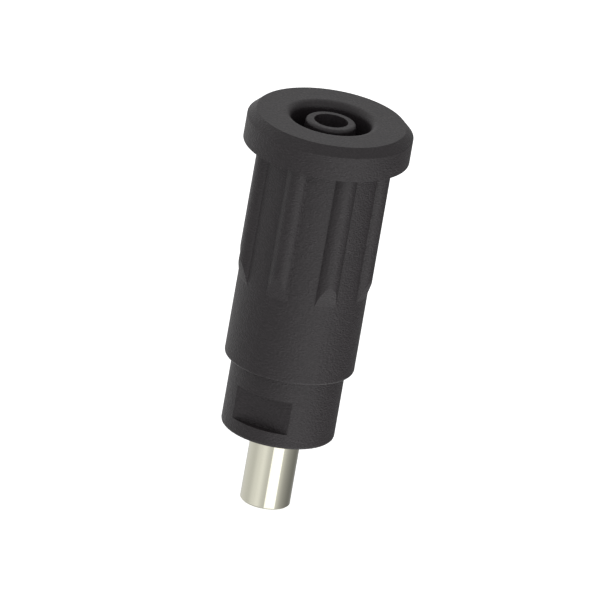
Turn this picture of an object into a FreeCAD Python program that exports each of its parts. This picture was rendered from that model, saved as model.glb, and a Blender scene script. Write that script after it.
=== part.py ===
import FreeCAD, Part
import math
import os

# A touch-proof 4 mm banana socket on a plain 6 mm pin, in millimetres.
# Z is its axis: the pin's end is at the origin, the mouth looks up and the collar's window along -Y.

# Heights along the axis
pin_length = 9.4
collar_height = 8.8
grip_height = 31.3

# Outside of the grip
flange_diameter = 20.0
flange_thickness = 4.0
flange_chamfer = 1.0
body_diameter = 15.6
body_edge_round = 0.2

# Half-round finger ribs between the flange and the plain lower body
rib_count = 8
rib_radius = 1.5
rib_height = 0.77
rib_length = 14.45
rib_runout = 2.7
rib_root = 0.8

# Mouth and shroud groove, which take the plug's insulating sleeve
mouth_diameter = 9.6
mouth_round = 0.9
groove_depth = 22.2

# Joint between the grip and the contact carrier
barrel_diameter = 12.6
snap_bead_height = 0.25
snap_bead_crest = 0.3
snap_bead_lead = 1.0
snap_bead_place = 3.2
seat_gap = 0.1
fit_gap = 0.02

# Nose tube, which keeps a finger off the contact
nose_diameter = 6.1
nose_drop = 0.4
nose_round = 0.4
nose_hole_diameter = 4.1
nose_lip = 2.6

# Collar and its flat window
collar_diameter = 13.6
collar_edge_round = 0.35
window_depth = 1.05
window_height = 4.1
window_drop = 2.8

# Turned contact: a socket in front, a pin behind, and between them a barbed stem in the carrier
bore_diameter = 4.0
bore_depth = 19.0
bore_chamfer = 0.3
drill_point_angle = 118.0
socket_diameter = 5.0
shoulder_height = 25.0
pin_diameter = 6.0
pin_chamfer = 0.2
stem_diameter = 6.4
barb_count = 3
barb_height = 0.25
barb_pitch = 1.6
barb_place = 3.0

# Places that follow from the sizes
collar_bottom = pin_length
body_bottom = collar_bottom + collar_height
total_height = body_bottom + grip_height
flange_bottom = total_height - flange_thickness
groove_bottom = total_height - groove_depth
nose_top = total_height - nose_drop
contact_top = nose_top - nose_lip
bore_bottom = contact_top - bore_depth


def corner(centre_r, centre_z, radius, start, end):
    """Three points of an arc, from the start angle to the end angle in degrees."""
    turns = [math.radians(angle) for angle in (start, (start + end) / 2, end)]
    return [(centre_r + radius * math.cos(turn), centre_z + radius * math.sin(turn)) for turn in turns]


def eased(centre_r, centre_z, radius, start, end, slopes=3):
    """Such an arc as a few short slopes, for an edge that is only just broken."""
    turns = [math.radians(start + (end - start) * number / slopes) for number in range(slopes + 1)]
    return [[(centre_r + radius * math.cos(turn), centre_z + radius * math.sin(turn))] for turn in turns]


def turned(outline):
    """Solid turned about Z from stretches of one point each, or the three points of an arc."""
    edges = []
    last = None
    for stretch in outline + [outline[0]]:
        points = [FreeCAD.Vector(r, 0, z) for r, z in stretch]
        if last is not None and last.distanceToPoint(points[0]) > 1e-6:
            edges.append(Part.makeLine(last, points[0]))
        if len(points) == 3:
            edges.append(Part.Arc(*points).toShape())
        last = points[-1]
    face = Part.Face(Part.Wire(edges))
    return face.revolve(FreeCAD.Vector(0, 0, 0), FreeCAD.Vector(0, 0, 1), 360)


def about_axis(shape, angle):
    """A copy of the shape, turned about Z."""
    copy = shape.copy()
    copy.rotate(FreeCAD.Vector(0, 0, 0), FreeCAD.Vector(0, 0, 1), angle)
    return copy


def snap_bead(gap):
    """Ring on the barrel with a steep catch below and a long lead above, or with a gap its groove."""
    wall = barrel_diameter / 2
    height = snap_bead_height + gap
    foot = body_bottom + snap_bead_place - gap
    crest = foot + snap_bead_height
    lead = crest + snap_bead_crest + 2 * gap
    return turned([
        [(wall - snap_bead_height, foot)],
        [(wall, foot)],
        [(wall + height, crest)],
        [(wall + height, lead)],
        [(wall, lead + snap_bead_lead)],
        [(wall - snap_bead_height, lead + snap_bead_lead)],
    ])


def rib():
    """Half-round rib on the -Y side, rooted in the wall, whose lower end runs out to the body on a cone."""
    body = body_diameter / 2
    crest = body + rib_height
    root = body - rib_root
    runout_top = flange_bottom - rib_length
    runout_end = runout_top - rib_runout
    bar = Part.makeCylinder(
        rib_radius, rib_length + rib_runout, FreeCAD.Vector(0, rib_radius - crest, runout_end))
    envelope = turned([
        [(root, flange_bottom)],
        [(crest, flange_bottom)],
        [(crest, runout_top)],
        [(body, runout_end)],
        [(root, runout_end)],
    ])
    return bar.common(envelope)


def grip_sleeve():
    """Flanged and ribbed grip, with the plug's mouth above and the carrier's bore below."""
    flange = flange_diameter / 2
    body = body_diameter / 2
    mouth = mouth_diameter / 2
    bore = barrel_diameter / 2 + fit_gap
    step = groove_bottom + seat_gap
    sleeve = turned([
        [(bore, body_bottom)],
        *eased(body - body_edge_round, body_bottom + body_edge_round, body_edge_round, -90, 0),
        [(body, flange_bottom)],
        [(flange, flange_bottom)],
        [(flange, total_height - flange_chamfer)],
        [(flange - flange_chamfer, total_height)],
        corner(mouth + mouth_round, total_height - mouth_round, mouth_round, 90, 180),
        [(mouth, step)],
        [(bore, step)],
    ])
    for number in range(rib_count):
        sleeve = sleeve.fuse(about_axis(rib(), number * 360.0 / rib_count))
    sleeve = sleeve.cut(snap_bead(fit_gap))
    return sleeve.removeSplitter()


def contact_outline(gap):
    """Outline of the contact's outside, or with a gap that of the carrier's cavity for it."""
    pin = pin_diameter / 2 + gap
    stem = stem_diameter / 2 + gap
    socket = socket_diameter / 2 + gap
    outline = [[(0, 0)], [(pin_diameter / 2 - pin_chamfer, 0)], [(pin, pin_chamfer)]]
    outline += [[(pin, collar_bottom)], [(stem, collar_bottom)]]
    for number in range(barb_count):
        foot = collar_bottom + barb_place + number * barb_pitch - gap
        outline += [[(stem, foot)], [(stem + barb_height, foot)], [(stem, foot + barb_pitch)]]
    return outline + [[(stem, shoulder_height + gap)], [(socket, shoulder_height + gap)]]


def contact_carrier():
    """Insulating carrier: collar, barrel and nose tube in one piece, hollow for the contact."""
    collar = collar_diameter / 2
    collar_foot = collar_bottom + collar_edge_round
    barrel = barrel_diameter / 2
    nose = nose_diameter / 2
    carrier = turned([
        [(0, collar_bottom)],
        *eased(collar - collar_edge_round, collar_foot, collar_edge_round, -90, 0),
        [(collar, body_bottom)],
        [(barrel, body_bottom)],
        [(barrel, groove_bottom)],
        [(nose, groove_bottom)],
        corner(nose - nose_round, nose_top - nose_round, nose_round, 0, 90),
        [(0, nose_top)],
    ])
    carrier = carrier.fuse(snap_bead(0))
    cavity_top = contact_top + fit_gap
    cavity = turned(contact_outline(fit_gap) + [
        [(socket_diameter / 2 + fit_gap, cavity_top)],
        [(nose_hole_diameter / 2, cavity_top)],
        [(nose_hole_diameter / 2, total_height)],
        [(0, total_height)],
    ])
    carrier = carrier.cut(cavity)
    return carrier.cut(window()).removeSplitter()


def window():
    """Block whose inner face is the window's flat floor, cut straight across the collar."""
    width = collar_diameter
    top = body_bottom - window_drop
    corner_point = FreeCAD.Vector(-width / 2, -collar_diameter, top - window_height)
    return Part.makeBox(width, collar_diameter / 2 + window_depth, window_height, corner_point)


def contact():
    """Turned contact with its blind bore, drilled to a point."""
    bore = bore_diameter / 2
    point_depth = bore / math.tan(math.radians(drill_point_angle / 2))
    return turned(contact_outline(0) + [
        [(socket_diameter / 2, contact_top)],
        [(bore + bore_chamfer, contact_top)],
        [(bore, contact_top - bore_chamfer)],
        [(bore, bore_bottom)],
        [(0, bore_bottom - point_depth)],
    ])


pieces = {
    "grip_sleeve": grip_sleeve(),
    "contact_carrier": contact_carrier(),
    "contact": contact(),
}
os.makedirs("parts", exist_ok=True)
for name, shape in pieces.items():
    solids = shape.Solids
    box = shape.BoundBox
    print(name, "solids", len(solids), "valid", shape.isValid(), "volume %.2f" % shape.Volume,
          "z %.3f to %.3f" % (box.ZMin, box.ZMax), "x %.3f to %.3f" % (box.XMin, box.XMax))
    solids[0].exportStep(os.path.join("parts", name + ".step"))
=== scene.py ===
import math
import bpy
import bmesh
from mathutils import Matrix, Vector


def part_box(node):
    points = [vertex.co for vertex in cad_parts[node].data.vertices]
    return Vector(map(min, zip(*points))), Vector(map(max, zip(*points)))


bl_info = {
    "name": "Banana Socket",
    "version": (1, 0, 0),
    "blender": (4, 5, 0),
    "location": "3D View > Sidebar > Banana Socket",
    "description": "Finishes of a touch-proof 4 mm banana socket, with its studio",
    "category": "Object",
}

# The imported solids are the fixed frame, and their box is the size of the socket
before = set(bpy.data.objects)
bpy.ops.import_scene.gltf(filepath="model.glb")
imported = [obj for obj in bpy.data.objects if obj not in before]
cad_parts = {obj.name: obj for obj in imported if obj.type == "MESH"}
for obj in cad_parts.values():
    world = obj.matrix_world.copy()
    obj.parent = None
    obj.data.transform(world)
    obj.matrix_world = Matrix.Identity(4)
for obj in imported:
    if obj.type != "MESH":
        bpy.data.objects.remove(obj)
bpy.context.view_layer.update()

MM = 0.001


# Sizes, colours and lights that a user would change

class PlasticSettings(bpy.types.PropertyGroup):
    """Black moulded plastic of the grip and of the contact carrier."""
    colour: bpy.props.FloatVectorProperty(
        name="Colour", description="Colour of the moulded plastic",
        subtype="COLOR", size=3, min=0, max=1, default=(0.0204, 0.0160, 0.0183))
    roughness: bpy.props.FloatProperty(
        name="Roughness", description="How dull the grained walls are",
        min=0, max=1, default=0.5)
    grain_size: bpy.props.FloatProperty(
        name="Grain size", description="Width of one pit of the spark-eroded grain",
        subtype="DISTANCE", min=0.00002, max=0.002, default=0.00022)
    grain_depth: bpy.props.FloatProperty(
        name="Grain depth", description="Depth of the grain's pits",
        subtype="DISTANCE", min=0, max=0.0002, default=0.00006)
    edge_round: bpy.props.FloatProperty(
        name="Edge rounding", description="Radius that light sees on the moulded edges",
        subtype="DISTANCE", min=0, max=0.0005, default=0.00008)
    foot_round: bpy.props.FloatProperty(
        name="Foot rounding", description="Radius that light sees on the grip's lowest edge",
        subtype="DISTANCE", min=0, max=0.001, default=0.0003)
    foot_dullness: bpy.props.FloatProperty(
        name="Foot dullness", description="Roughness of the grip's lowest edge against its walls'",
        min=0.1, max=1, default=0.6)


class MetalSettings(bpy.types.PropertyGroup):
    """Nickel plate on the turned contact."""
    colour: bpy.props.FloatVectorProperty(
        name="Colour", description="Colour of the nickel plate",
        subtype="COLOR", size=3, min=0, max=1, default=(0.70, 0.685, 0.572))
    roughness: bpy.props.FloatProperty(
        name="Roughness", description="How dull the plate is",
        min=0, max=1, default=0.065)
    turning_pitch: bpy.props.FloatProperty(
        name="Turning pitch", description="Distance between two marks of the lathe tool",
        subtype="DISTANCE", min=0.00002, max=0.001, default=0.00009)
    turning_depth: bpy.props.FloatProperty(
        name="Turning depth", description="Depth of the lathe tool's marks",
        subtype="DISTANCE", min=0, max=0.00005, default=0.0000006)


class StudioSettings(bpy.types.PropertyGroup):
    """Camera and floor."""
    azimuth: bpy.props.FloatProperty(
        name="Azimuth", description="Camera's place round the socket, from the window's side",
        subtype="ANGLE", default=math.radians(21.4))
    elevation: bpy.props.FloatProperty(
        name="Elevation", description="Camera's height above the level",
        subtype="ANGLE", default=math.radians(21.43))
    roll: bpy.props.FloatProperty(
        name="Roll", description="Turn of the camera about its own line of sight",
        subtype="ANGLE", default=math.radians(9.95))
    width: bpy.props.FloatProperty(
        name="Width of view", description="Width of the parallel view",
        subtype="DISTANCE", min=0.01, default=0.07115)
    aim_height: bpy.props.FloatProperty(
        name="Aim height", description="Height on the axis at the middle of the view",
        subtype="DISTANCE", default=0.025912)
    aim_right: bpy.props.FloatProperty(
        name="Aim to the right", description="Distance from the axis to the middle of the view",
        subtype="DISTANCE", default=0.0000237)
    floor_colour: bpy.props.FloatVectorProperty(
        name="Floor colour", description="Colour of the pale floor",
        subtype="COLOR", size=3, min=0, max=1, default=(0.92, 0.92, 0.92))


# Node trees

NUMBER = "NodeSocketFloat"
DIRECTION = "NodeSocketVector"


def feed(tree, socket, value):
    """Joins an input to another node's output, or sets it to a value of its own."""
    if isinstance(value, bpy.types.NodeSocket):
        tree.links.new(value, socket)
    else:
        socket.default_value = value


def add_node(tree, kind, inputs=None, **settings):
    """One node of a tree: its settings first, then its inputs by name or by number."""
    made = tree.nodes.new(kind)
    for name, value in settings.items():
        setattr(made, name, value)
    for name, value in (inputs or {}).items():
        feed(tree, made.inputs[name], value)
    return made


def maths(tree, operation, *parts):
    """Result of a Math node over numbers and other nodes' outputs."""
    made = add_node(tree, "ShaderNodeMath", dict(enumerate(parts)), operation=operation)
    return made.outputs["Value"]


def vector_maths(tree, operation, *parts):
    """Outputs of a Vector Math node over vectors and other nodes' outputs."""
    made = add_node(tree, "ShaderNodeVectorMath", dict(enumerate(parts)), operation=operation)
    return made.outputs


def remap(tree, value, low, high, start=0.0, end=1.0, **settings):
    """A value taken from one range to another, and held inside it."""
    made = add_node(tree, "ShaderNodeMapRange", {
        "Value": value, "From Min": low, "From Max": high, "To Min": start, "To Max": end,
    }, clamp=True, **settings)
    return made.outputs["Result"]


def shared(build):
    """The node group that a function fills, made at its first use and named after it."""
    name = build.__name__.replace("_", " ")
    if name not in bpy.data.node_groups:
        build(bpy.data.node_groups.new(name, "ShaderNodeTree"))
    return bpy.data.node_groups[name]


def open_group(group, inputs, outputs):
    """Gives a group its named inputs and outputs, and returns their sockets inside it."""
    for name, kind in inputs.items():
        group.interface.new_socket(name, in_out="INPUT", socket_type=kind)
    for name, kind in outputs.items():
        group.interface.new_socket(name, in_out="OUTPUT", socket_type=kind)
    return group.nodes.new("NodeGroupInput").outputs, group.nodes.new("NodeGroupOutput").inputs


def object_place(tree):
    """Place on the piece, in metres from the socket's origin."""
    return add_node(tree, "ShaderNodeTexCoord").outputs["Object"]


# Finishes

# Spark-eroded grain: pits wider round the axis than along it, in patches of uneven depth
GRAIN_SQUASH = (0.75, 0.75, 1.2)
PATCHES_PER_METRE = 900.0
SHALLOWEST_PATCH = 0.55
# Span that nearly all of a noise's values lie in
NOISE_SPAN = (0.3, 0.7)


def spark_grain(group):
    """Pits that spark erosion leaves in a mould: their height, and their tone from 0 to 1."""
    inside, outside = open_group(
        group, {"Pits per metre": NUMBER, "Strength": NUMBER}, {"Height": NUMBER, "Tone": NUMBER})
    place = object_place(group)
    fine = add_node(group, "ShaderNodeTexNoise", {
        "Vector": vector_maths(group, "MULTIPLY", place, GRAIN_SQUASH)["Vector"],
        "Scale": inside["Pits per metre"], "Detail": 1.2, "Roughness": 0.55})
    patches = add_node(group, "ShaderNodeTexNoise", {
        "Vector": place, "Scale": PATCHES_PER_METRE, "Detail": 2.0})
    tone = maths(
        group, "MULTIPLY", remap(group, fine.outputs["Fac"], *NOISE_SPAN),
        remap(group, patches.outputs["Fac"], *NOISE_SPAN, start=SHALLOWEST_PATCH))
    feed(group, outside["Height"], maths(group, "MULTIPLY", tone, inside["Strength"]))
    feed(group, outside["Tone"], tone)


# Smoother faces of the mould: how far their normal looks up, and where the mouth's wall ends
LEVEL_FADE = (0.55, 0.95)
MOUTH_FADE = (5.7 * MM, 5.3 * MM)


def polished_faces(group):
    """Mask of the faces that look up along the axis, and of the mouth's wall."""
    _, outside = open_group(group, {}, {"Mask": NUMBER})
    normal = add_node(group, "ShaderNodeNewGeometry").outputs["Normal"]
    upward = add_node(group, "ShaderNodeSeparateXYZ", {"Vector": normal}).outputs["Z"]
    across = vector_maths(group, "MULTIPLY", object_place(group), (1, 1, 0))["Vector"]
    radius = vector_maths(group, "LENGTH", across)["Value"]
    level = remap(group, upward, *LEVEL_FADE, interpolation_type="SMOOTHSTEP")
    mouth = remap(group, radius, *MOUTH_FADE, interpolation_type="SMOOTHSTEP")
    feed(group, outside["Mask"], maths(group, "MAXIMUM", level, mouth))


# Turning marks run round the axis, so their noise hardly changes across it
MARK_SQUASH = (0.02, 0.02, 1.0)


def turning_marks(group):
    """Fine rings that a lathe tool leaves, uneven along the axis."""
    inside, outside = open_group(group, {"Marks per metre": NUMBER}, {"Height": NUMBER})
    squashed = add_node(group, "ShaderNodeMapping", {
        "Vector": object_place(group), "Scale": MARK_SQUASH})
    rings = add_node(group, "ShaderNodeTexNoise", {
        "Vector": squashed.outputs["Vector"], "Scale": inside["Marks per metre"],
        "Detail": 3.0, "Roughness": 0.6})
    feed(group, outside["Height"], rings.outputs["Fac"])


def new_finish(name):
    """Empty material, with its node tree and its surface."""
    finish = bpy.data.materials.new(name)
    finish.use_nodes = True
    return finish, finish.node_tree, finish.node_tree.nodes["Principled BSDF"].inputs


def two_shades(tree, factor, colour, low, high):
    """The colour times a low share where the factor is 0, and times a high one where it is 1."""
    made = add_node(tree, "ShaderNodeMix", data_type="RGBA")
    feed(tree, made.inputs["Factor"], factor)
    for name, share in (("A", low), ("B", high)):
        made.inputs[name].default_value = (*[share * part for part in colour], 1)
    return made.outputs["Result"]


# Plastic: share of the grain that the polished faces lose, the painted shade in its pits and
# painted light on the rims between them as shares of the colour, and its change of roughness
POLISH = 0.7
PAINTED_PIT_SHADE_RIM_LIGHT = (0.74, 1.21)
GRAIN_DULLNESS = 0.05
# Heights above the grip's lower end over which its rounder and its brighter edge fade away
FOOT_ROUND_FADE = (0.6 * MM, 0.9 * MM)
FOOT_BRIGHT_FADE = (0.20 * MM, 0.26 * MM)


def plastic_finish(name, settings, foot=None):
    """Black grained plastic with painted shade in the grain's pits and painted light on its rims,
    and softened edges, the one at the foot's height the brightest.
    """
    finish, tree, surface = new_finish(name)
    polished = add_node(tree, "ShaderNodeGroup", node_tree=shared(polished_faces)).outputs["Mask"]
    grain = add_node(tree, "ShaderNodeGroup", {
        "Pits per metre": 1 / settings.grain_size,
        "Strength": maths(tree, "MULTIPLY_ADD", polished, -POLISH, 1.0),
    }, node_tree=shared(spark_grain)).outputs
    # Painted shade and light: the colour is darker in the grain's pits and lighter on the rims
    # between them
    shade = two_shades(tree, grain["Tone"], settings.colour, *PAINTED_PIT_SHADE_RIM_LIGHT)
    dull = remap(
        tree, grain["Tone"], 0.0, 1.0,
        settings.roughness + GRAIN_DULLNESS, settings.roughness - GRAIN_DULLNESS)
    edge = settings.edge_round
    if foot is not None:
        parts = add_node(tree, "ShaderNodeSeparateXYZ", {"Vector": object_place(tree)})
        height = parts.outputs["Z"]
        low, high = FOOT_ROUND_FADE
        edge = remap(
            tree, height, foot + low, foot + high, settings.foot_round, settings.edge_round)
        low, high = FOOT_BRIGHT_FADE
        band = remap(tree, height, foot + low, foot + high, start=settings.foot_dullness)
        dull = maths(tree, "MULTIPLY", dull, band)
    rounded = add_node(tree, "ShaderNodeBevel", {"Radius": edge}, samples=8)
    bump = add_node(tree, "ShaderNodeBump", {
        "Strength": 1.0, "Distance": settings.grain_depth, "Height": grain["Height"],
        "Normal": rounded.outputs["Normal"]})
    feed(tree, surface["Base Color"], shade)
    feed(tree, surface["Roughness"], dull)
    feed(tree, surface["Normal"], bump.outputs["Normal"])
    return finish


# Metal: colour and roughness that the lathe tool's marks change
MARK_SHADES = (0.97, 1.0)
MARK_DULLNESS = 0.02


def metal_finish(name, settings):
    """Nickel plate over the marks of the lathe."""
    finish, tree, surface = new_finish(name)
    marks = add_node(
        tree, "ShaderNodeGroup", {"Marks per metre": 1 / settings.turning_pitch},
        node_tree=shared(turning_marks)).outputs["Height"]
    shade = two_shades(tree, marks, settings.colour, *MARK_SHADES)
    dull = remap(
        tree, marks, 0.0, 1.0,
        settings.roughness - MARK_DULLNESS, settings.roughness + MARK_DULLNESS)
    bump = add_node(tree, "ShaderNodeBump", {
        "Strength": 1.0, "Distance": settings.turning_depth, "Height": marks})
    surface["Metallic"].default_value = 1.0
    feed(tree, surface["Base Color"], shade)
    feed(tree, surface["Roughness"], dull)
    feed(tree, surface["Normal"], bump.outputs["Normal"])
    return finish


def dress(node, finish):
    """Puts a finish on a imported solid, whose shape stays as it is."""
    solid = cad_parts[node]
    solid.data.materials.clear()
    solid.data.materials.append(finish)


class SOCKET_OT_grip_sleeve(bpy.types.Operator):
    """Gives the ribbed grip its black grained plastic"""
    bl_idname = "socket.grip_sleeve"
    bl_label = "Grip sleeve"

    def execute(self, context):
        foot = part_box("grip_sleeve")[0].z
        finish = plastic_finish("grip plastic", context.scene.socket_plastic, foot)
        dress("grip_sleeve", finish)
        return {"FINISHED"}


class SOCKET_OT_contact_carrier(bpy.types.Operator):
    """Gives the carrier, with its collar, window and nose, its black grained plastic"""
    bl_idname = "socket.contact_carrier"
    bl_label = "Contact carrier"

    def execute(self, context):
        finish = plastic_finish("carrier plastic", context.scene.socket_plastic)
        dress("contact_carrier", finish)
        return {"FINISHED"}


class SOCKET_OT_contact(bpy.types.Operator):
    """Gives the turned contact its nickel plate"""
    bl_idname = "socket.contact"
    bl_label = "Contact"

    def execute(self, context):
        finish = metal_finish("nickel plate", context.scene.socket_metal)
        dress("contact", finish)
        return {"FINISHED"}


# Studio

# Soft lamps and shades far away: name, azimuth from the camera and elevation in degrees, how
# fast they fall off all round, how much faster they do so upwards and downwards, and brightness
FAR_LAMPS = (
    ("low right lamp", 67.6, -64.1, 3.90, 2.90, 1.526),
    ("right shade", 136.6, -25.0, 2.12, 0.0, -0.770),
    ("left shade", -48.2, -14.3, 21.6, 0.0, -0.786),
    ("left strip", -46.2, -23.2, 15.5, 60.0, 1.110),
    ("right lamp", 50.1, -0.4, 25.0, 3.36, 2.000),
    ("rear lamp", -166.7, 4.0, 0.92, 0.0, 0.586),
)
EVEN_BRIGHTNESS = 0.447

# Panels in front: name, width and height as angles, azimuth from the camera and elevation,
# all in degrees, and brightness
PANELS = (
    ("front panel", 46.1, 69.5, 25.85, 5.1, 0.316),
    ("front strip", 46.1, 13.0, 25.85, -21.5, 0.75),
)
PANEL_DISTANCE = 1.0
PANEL_AIM_HEIGHT = 25 * MM

FLOOR_RADIUS = 3.0
FLOOR_DROP = 0.05 * MM
FLOOR_ROUGHNESS = 0.9
FLOOR_GLOW = 0.7

CAMERA_DISTANCE = 0.5
WHITE = (1, 1, 1, 1)


def towards(azimuth, elevation):
    """Direction of a place round the socket, with azimuth 0 at the window's side."""
    return Vector((
        math.sin(azimuth) * math.cos(elevation),
        -math.cos(azimuth) * math.cos(elevation),
        math.sin(elevation)))


def link_object(name, data):
    """New object in the scene."""
    made = bpy.data.objects.new(name, data)
    bpy.context.scene.collection.objects.link(made)
    return made


def soft_lamp(group):
    """Brightness that one far lamp adds in each direction, falling off smoothly from its middle."""
    inside, outside = open_group(group, {
        "View": DIRECTION, "Lamp": DIRECTION, "Above": DIRECTION,
        "Sharpness": NUMBER, "Flatness": NUMBER, "Brightness": NUMBER}, {"Level": NUMBER})
    along = vector_maths(group, "DOT_PRODUCT", inside["View"], inside["Lamp"])["Value"]
    over = vector_maths(group, "DOT_PRODUCT", inside["View"], inside["Above"])["Value"]
    narrow = maths(group, "MULTIPLY", maths(group, "SUBTRACT", along, 1.0), inside["Sharpness"])
    flat = maths(group, "MULTIPLY", maths(group, "POWER", over, 2.0), inside["Flatness"])
    fall = maths(group, "EXPONENT", maths(group, "SUBTRACT", narrow, flat))
    feed(group, outside["Level"], maths(group, "MULTIPLY", fall, inside["Brightness"]))


def make_world(camera_azimuth):
    """Pale light from all round with a few soft lamps, and a white backdrop for the camera."""
    world = bpy.data.worlds.new("studio")
    world.use_nodes = True
    tree = world.node_tree
    view = add_node(tree, "ShaderNodeTexCoord").outputs["Generated"]
    total = EVEN_BRIGHTNESS
    for name, azimuth, elevation, sharpness, flatness, brightness in FAR_LAMPS:
        turn = camera_azimuth + math.radians(azimuth)
        lamp = add_node(tree, "ShaderNodeGroup", {
            "View": view,
            "Lamp": towards(turn, math.radians(elevation)),
            "Above": towards(turn, math.radians(elevation + 90)),
            "Sharpness": sharpness, "Flatness": flatness, "Brightness": brightness,
        }, node_tree=shared(soft_lamp), label=name)
        total = maths(tree, "ADD", lamp.outputs["Level"], total)
    light = tree.nodes["Background"]
    light.inputs["Color"].default_value = WHITE
    feed(tree, light.inputs["Strength"], maths(tree, "MAXIMUM", total, 0.0))
    backdrop = add_node(tree, "ShaderNodeBackground", {"Color": WHITE, "Strength": 1.0})
    mix = add_node(tree, "ShaderNodeMixShader", {
        "Fac": add_node(tree, "ShaderNodeLightPath").outputs["Is Camera Ray"],
        1: light.outputs["Background"],
        2: backdrop.outputs["Background"]})
    feed(tree, tree.nodes["World Output"].inputs["Surface"], mix.outputs["Shader"])
    bpy.context.scene.world = world


def make_panel(camera_azimuth, name, width, height, azimuth, elevation, brightness):
    """Rectangular light that faces the socket."""
    light = bpy.data.lights.new(name, "AREA")
    light.shape = "RECTANGLE"
    light.size = 2 * PANEL_DISTANCE * math.tan(math.radians(width / 2))
    light.size_y = 2 * PANEL_DISTANCE * math.tan(math.radians(height / 2))
    light.energy = brightness * math.pi * light.size * light.size_y
    panel = link_object(name, light)
    back = towards(camera_azimuth + math.radians(azimuth), math.radians(elevation))
    panel.location = Vector((0, 0, PANEL_AIM_HEIGHT)) + back * PANEL_DISTANCE
    panel.rotation_mode = "QUATERNION"
    panel.rotation_quaternion = (-back).to_track_quat("-Z", "Y")
    panel.visible_camera = False


def floor_finish(colour):
    """Pale glowing floor, which is clear when it is seen from below."""
    finish, tree, surface = new_finish("floor")
    surface["Base Color"].default_value = (*colour, 1)
    surface["Roughness"].default_value = FLOOR_ROUGHNESS
    surface["Emission Color"].default_value = WHITE
    surface["Emission Strength"].default_value = FLOOR_GLOW
    mix = add_node(tree, "ShaderNodeMixShader", {
        "Fac": add_node(tree, "ShaderNodeNewGeometry").outputs["Backfacing"],
        1: tree.nodes["Principled BSDF"].outputs["BSDF"],
        2: add_node(tree, "ShaderNodeBsdfTransparent").outputs["BSDF"]})
    feed(tree, tree.nodes["Material Output"].inputs["Surface"], mix.outputs["Shader"])
    return finish


def make_floor(colour):
    """Wide floor just under the pin's end, which the socket neither mirrors nor shades."""
    shape = bmesh.new()
    bmesh.ops.create_circle(shape, cap_ends=True, segments=96, radius=FLOOR_RADIUS)
    mesh = bpy.data.meshes.new("floor")
    shape.to_mesh(mesh)
    shape.free()
    mesh.materials.append(floor_finish(colour))
    floor = link_object("floor", mesh)
    floor.location.z = -FLOOR_DROP
    floor.visible_diffuse = False
    floor.visible_glossy = False
    floor.visible_shadow = False


def make_camera(settings):
    """Parallel camera at the photograph's angle."""
    lens = bpy.data.cameras.new("camera")
    lens.type = "ORTHO"
    lens.ortho_scale = settings.width
    lens.clip_start = 0.01
    lens.clip_end = 10.0
    camera = link_object("camera", lens)
    back = towards(settings.azimuth, settings.elevation)
    right = Vector((math.cos(settings.azimuth), math.sin(settings.azimuth), 0))
    aim = Vector((0, 0, settings.aim_height)) + right * settings.aim_right
    upright = (-back).to_track_quat("-Z", "Y")
    camera.rotation_mode = "QUATERNION"
    camera.rotation_quaternion = upright @ Matrix.Rotation(settings.roll, 4, "Z").to_quaternion()
    camera.location = aim + back * CAMERA_DISTANCE
    bpy.context.scene.camera = camera


class SOCKET_OT_studio(bpy.types.Operator):
    """Builds the pale floor, the soft lights and the camera"""
    bl_idname = "socket.studio"
    bl_label = "Studio"

    def execute(self, context):
        settings = context.scene.socket_studio
        context.scene.view_settings.view_transform = "Standard"
        make_camera(settings)
        make_floor(settings.floor_colour)
        make_world(settings.azimuth)
        for panel in PANELS:
            make_panel(settings.azimuth, *panel)
        return {"FINISHED"}


# Sidebar and registration

class SOCKET_PT_panel(bpy.types.Panel):
    """Pieces and studio of the banana socket"""
    bl_idname = "SOCKET_PT_panel"
    bl_label = "Banana Socket"
    bl_space_type = "VIEW_3D"
    bl_region_type = "UI"
    bl_category = "Banana Socket"

    def draw(self, context):
        for operator in OPERATORS:
            self.layout.operator(operator.bl_idname)
        scene = context.scene
        for settings in (scene.socket_plastic, scene.socket_metal, scene.socket_studio):
            box = self.layout.box()
            for name in settings.bl_rna.properties.keys():
                if name not in ("rna_type", "name"):
                    box.prop(settings, name)


SETTINGS = (PlasticSettings, MetalSettings, StudioSettings)
OPERATORS = (
    SOCKET_OT_grip_sleeve, SOCKET_OT_contact_carrier, SOCKET_OT_contact, SOCKET_OT_studio)


def register():
    for kind in (*SETTINGS, *OPERATORS, SOCKET_PT_panel):
        bpy.utils.register_class(kind)
    bpy.types.Scene.socket_plastic = bpy.props.PointerProperty(type=PlasticSettings)
    bpy.types.Scene.socket_metal = bpy.props.PointerProperty(type=MetalSettings)
    bpy.types.Scene.socket_studio = bpy.props.PointerProperty(type=StudioSettings)


def unregister():
    del bpy.types.Scene.socket_plastic
    del bpy.types.Scene.socket_metal
    del bpy.types.Scene.socket_studio
    for kind in reversed((*SETTINGS, *OPERATORS, SOCKET_PT_panel)):
        bpy.utils.unregister_class(kind)


def main():
    """Makes every piece, then the studio."""
    register()
    bpy.ops.socket.grip_sleeve()
    bpy.ops.socket.contact_carrier()
    bpy.ops.socket.contact()
    bpy.ops.socket.studio()
    bpy.context.view_layer.update()


if __name__ == "__main__":
    main()
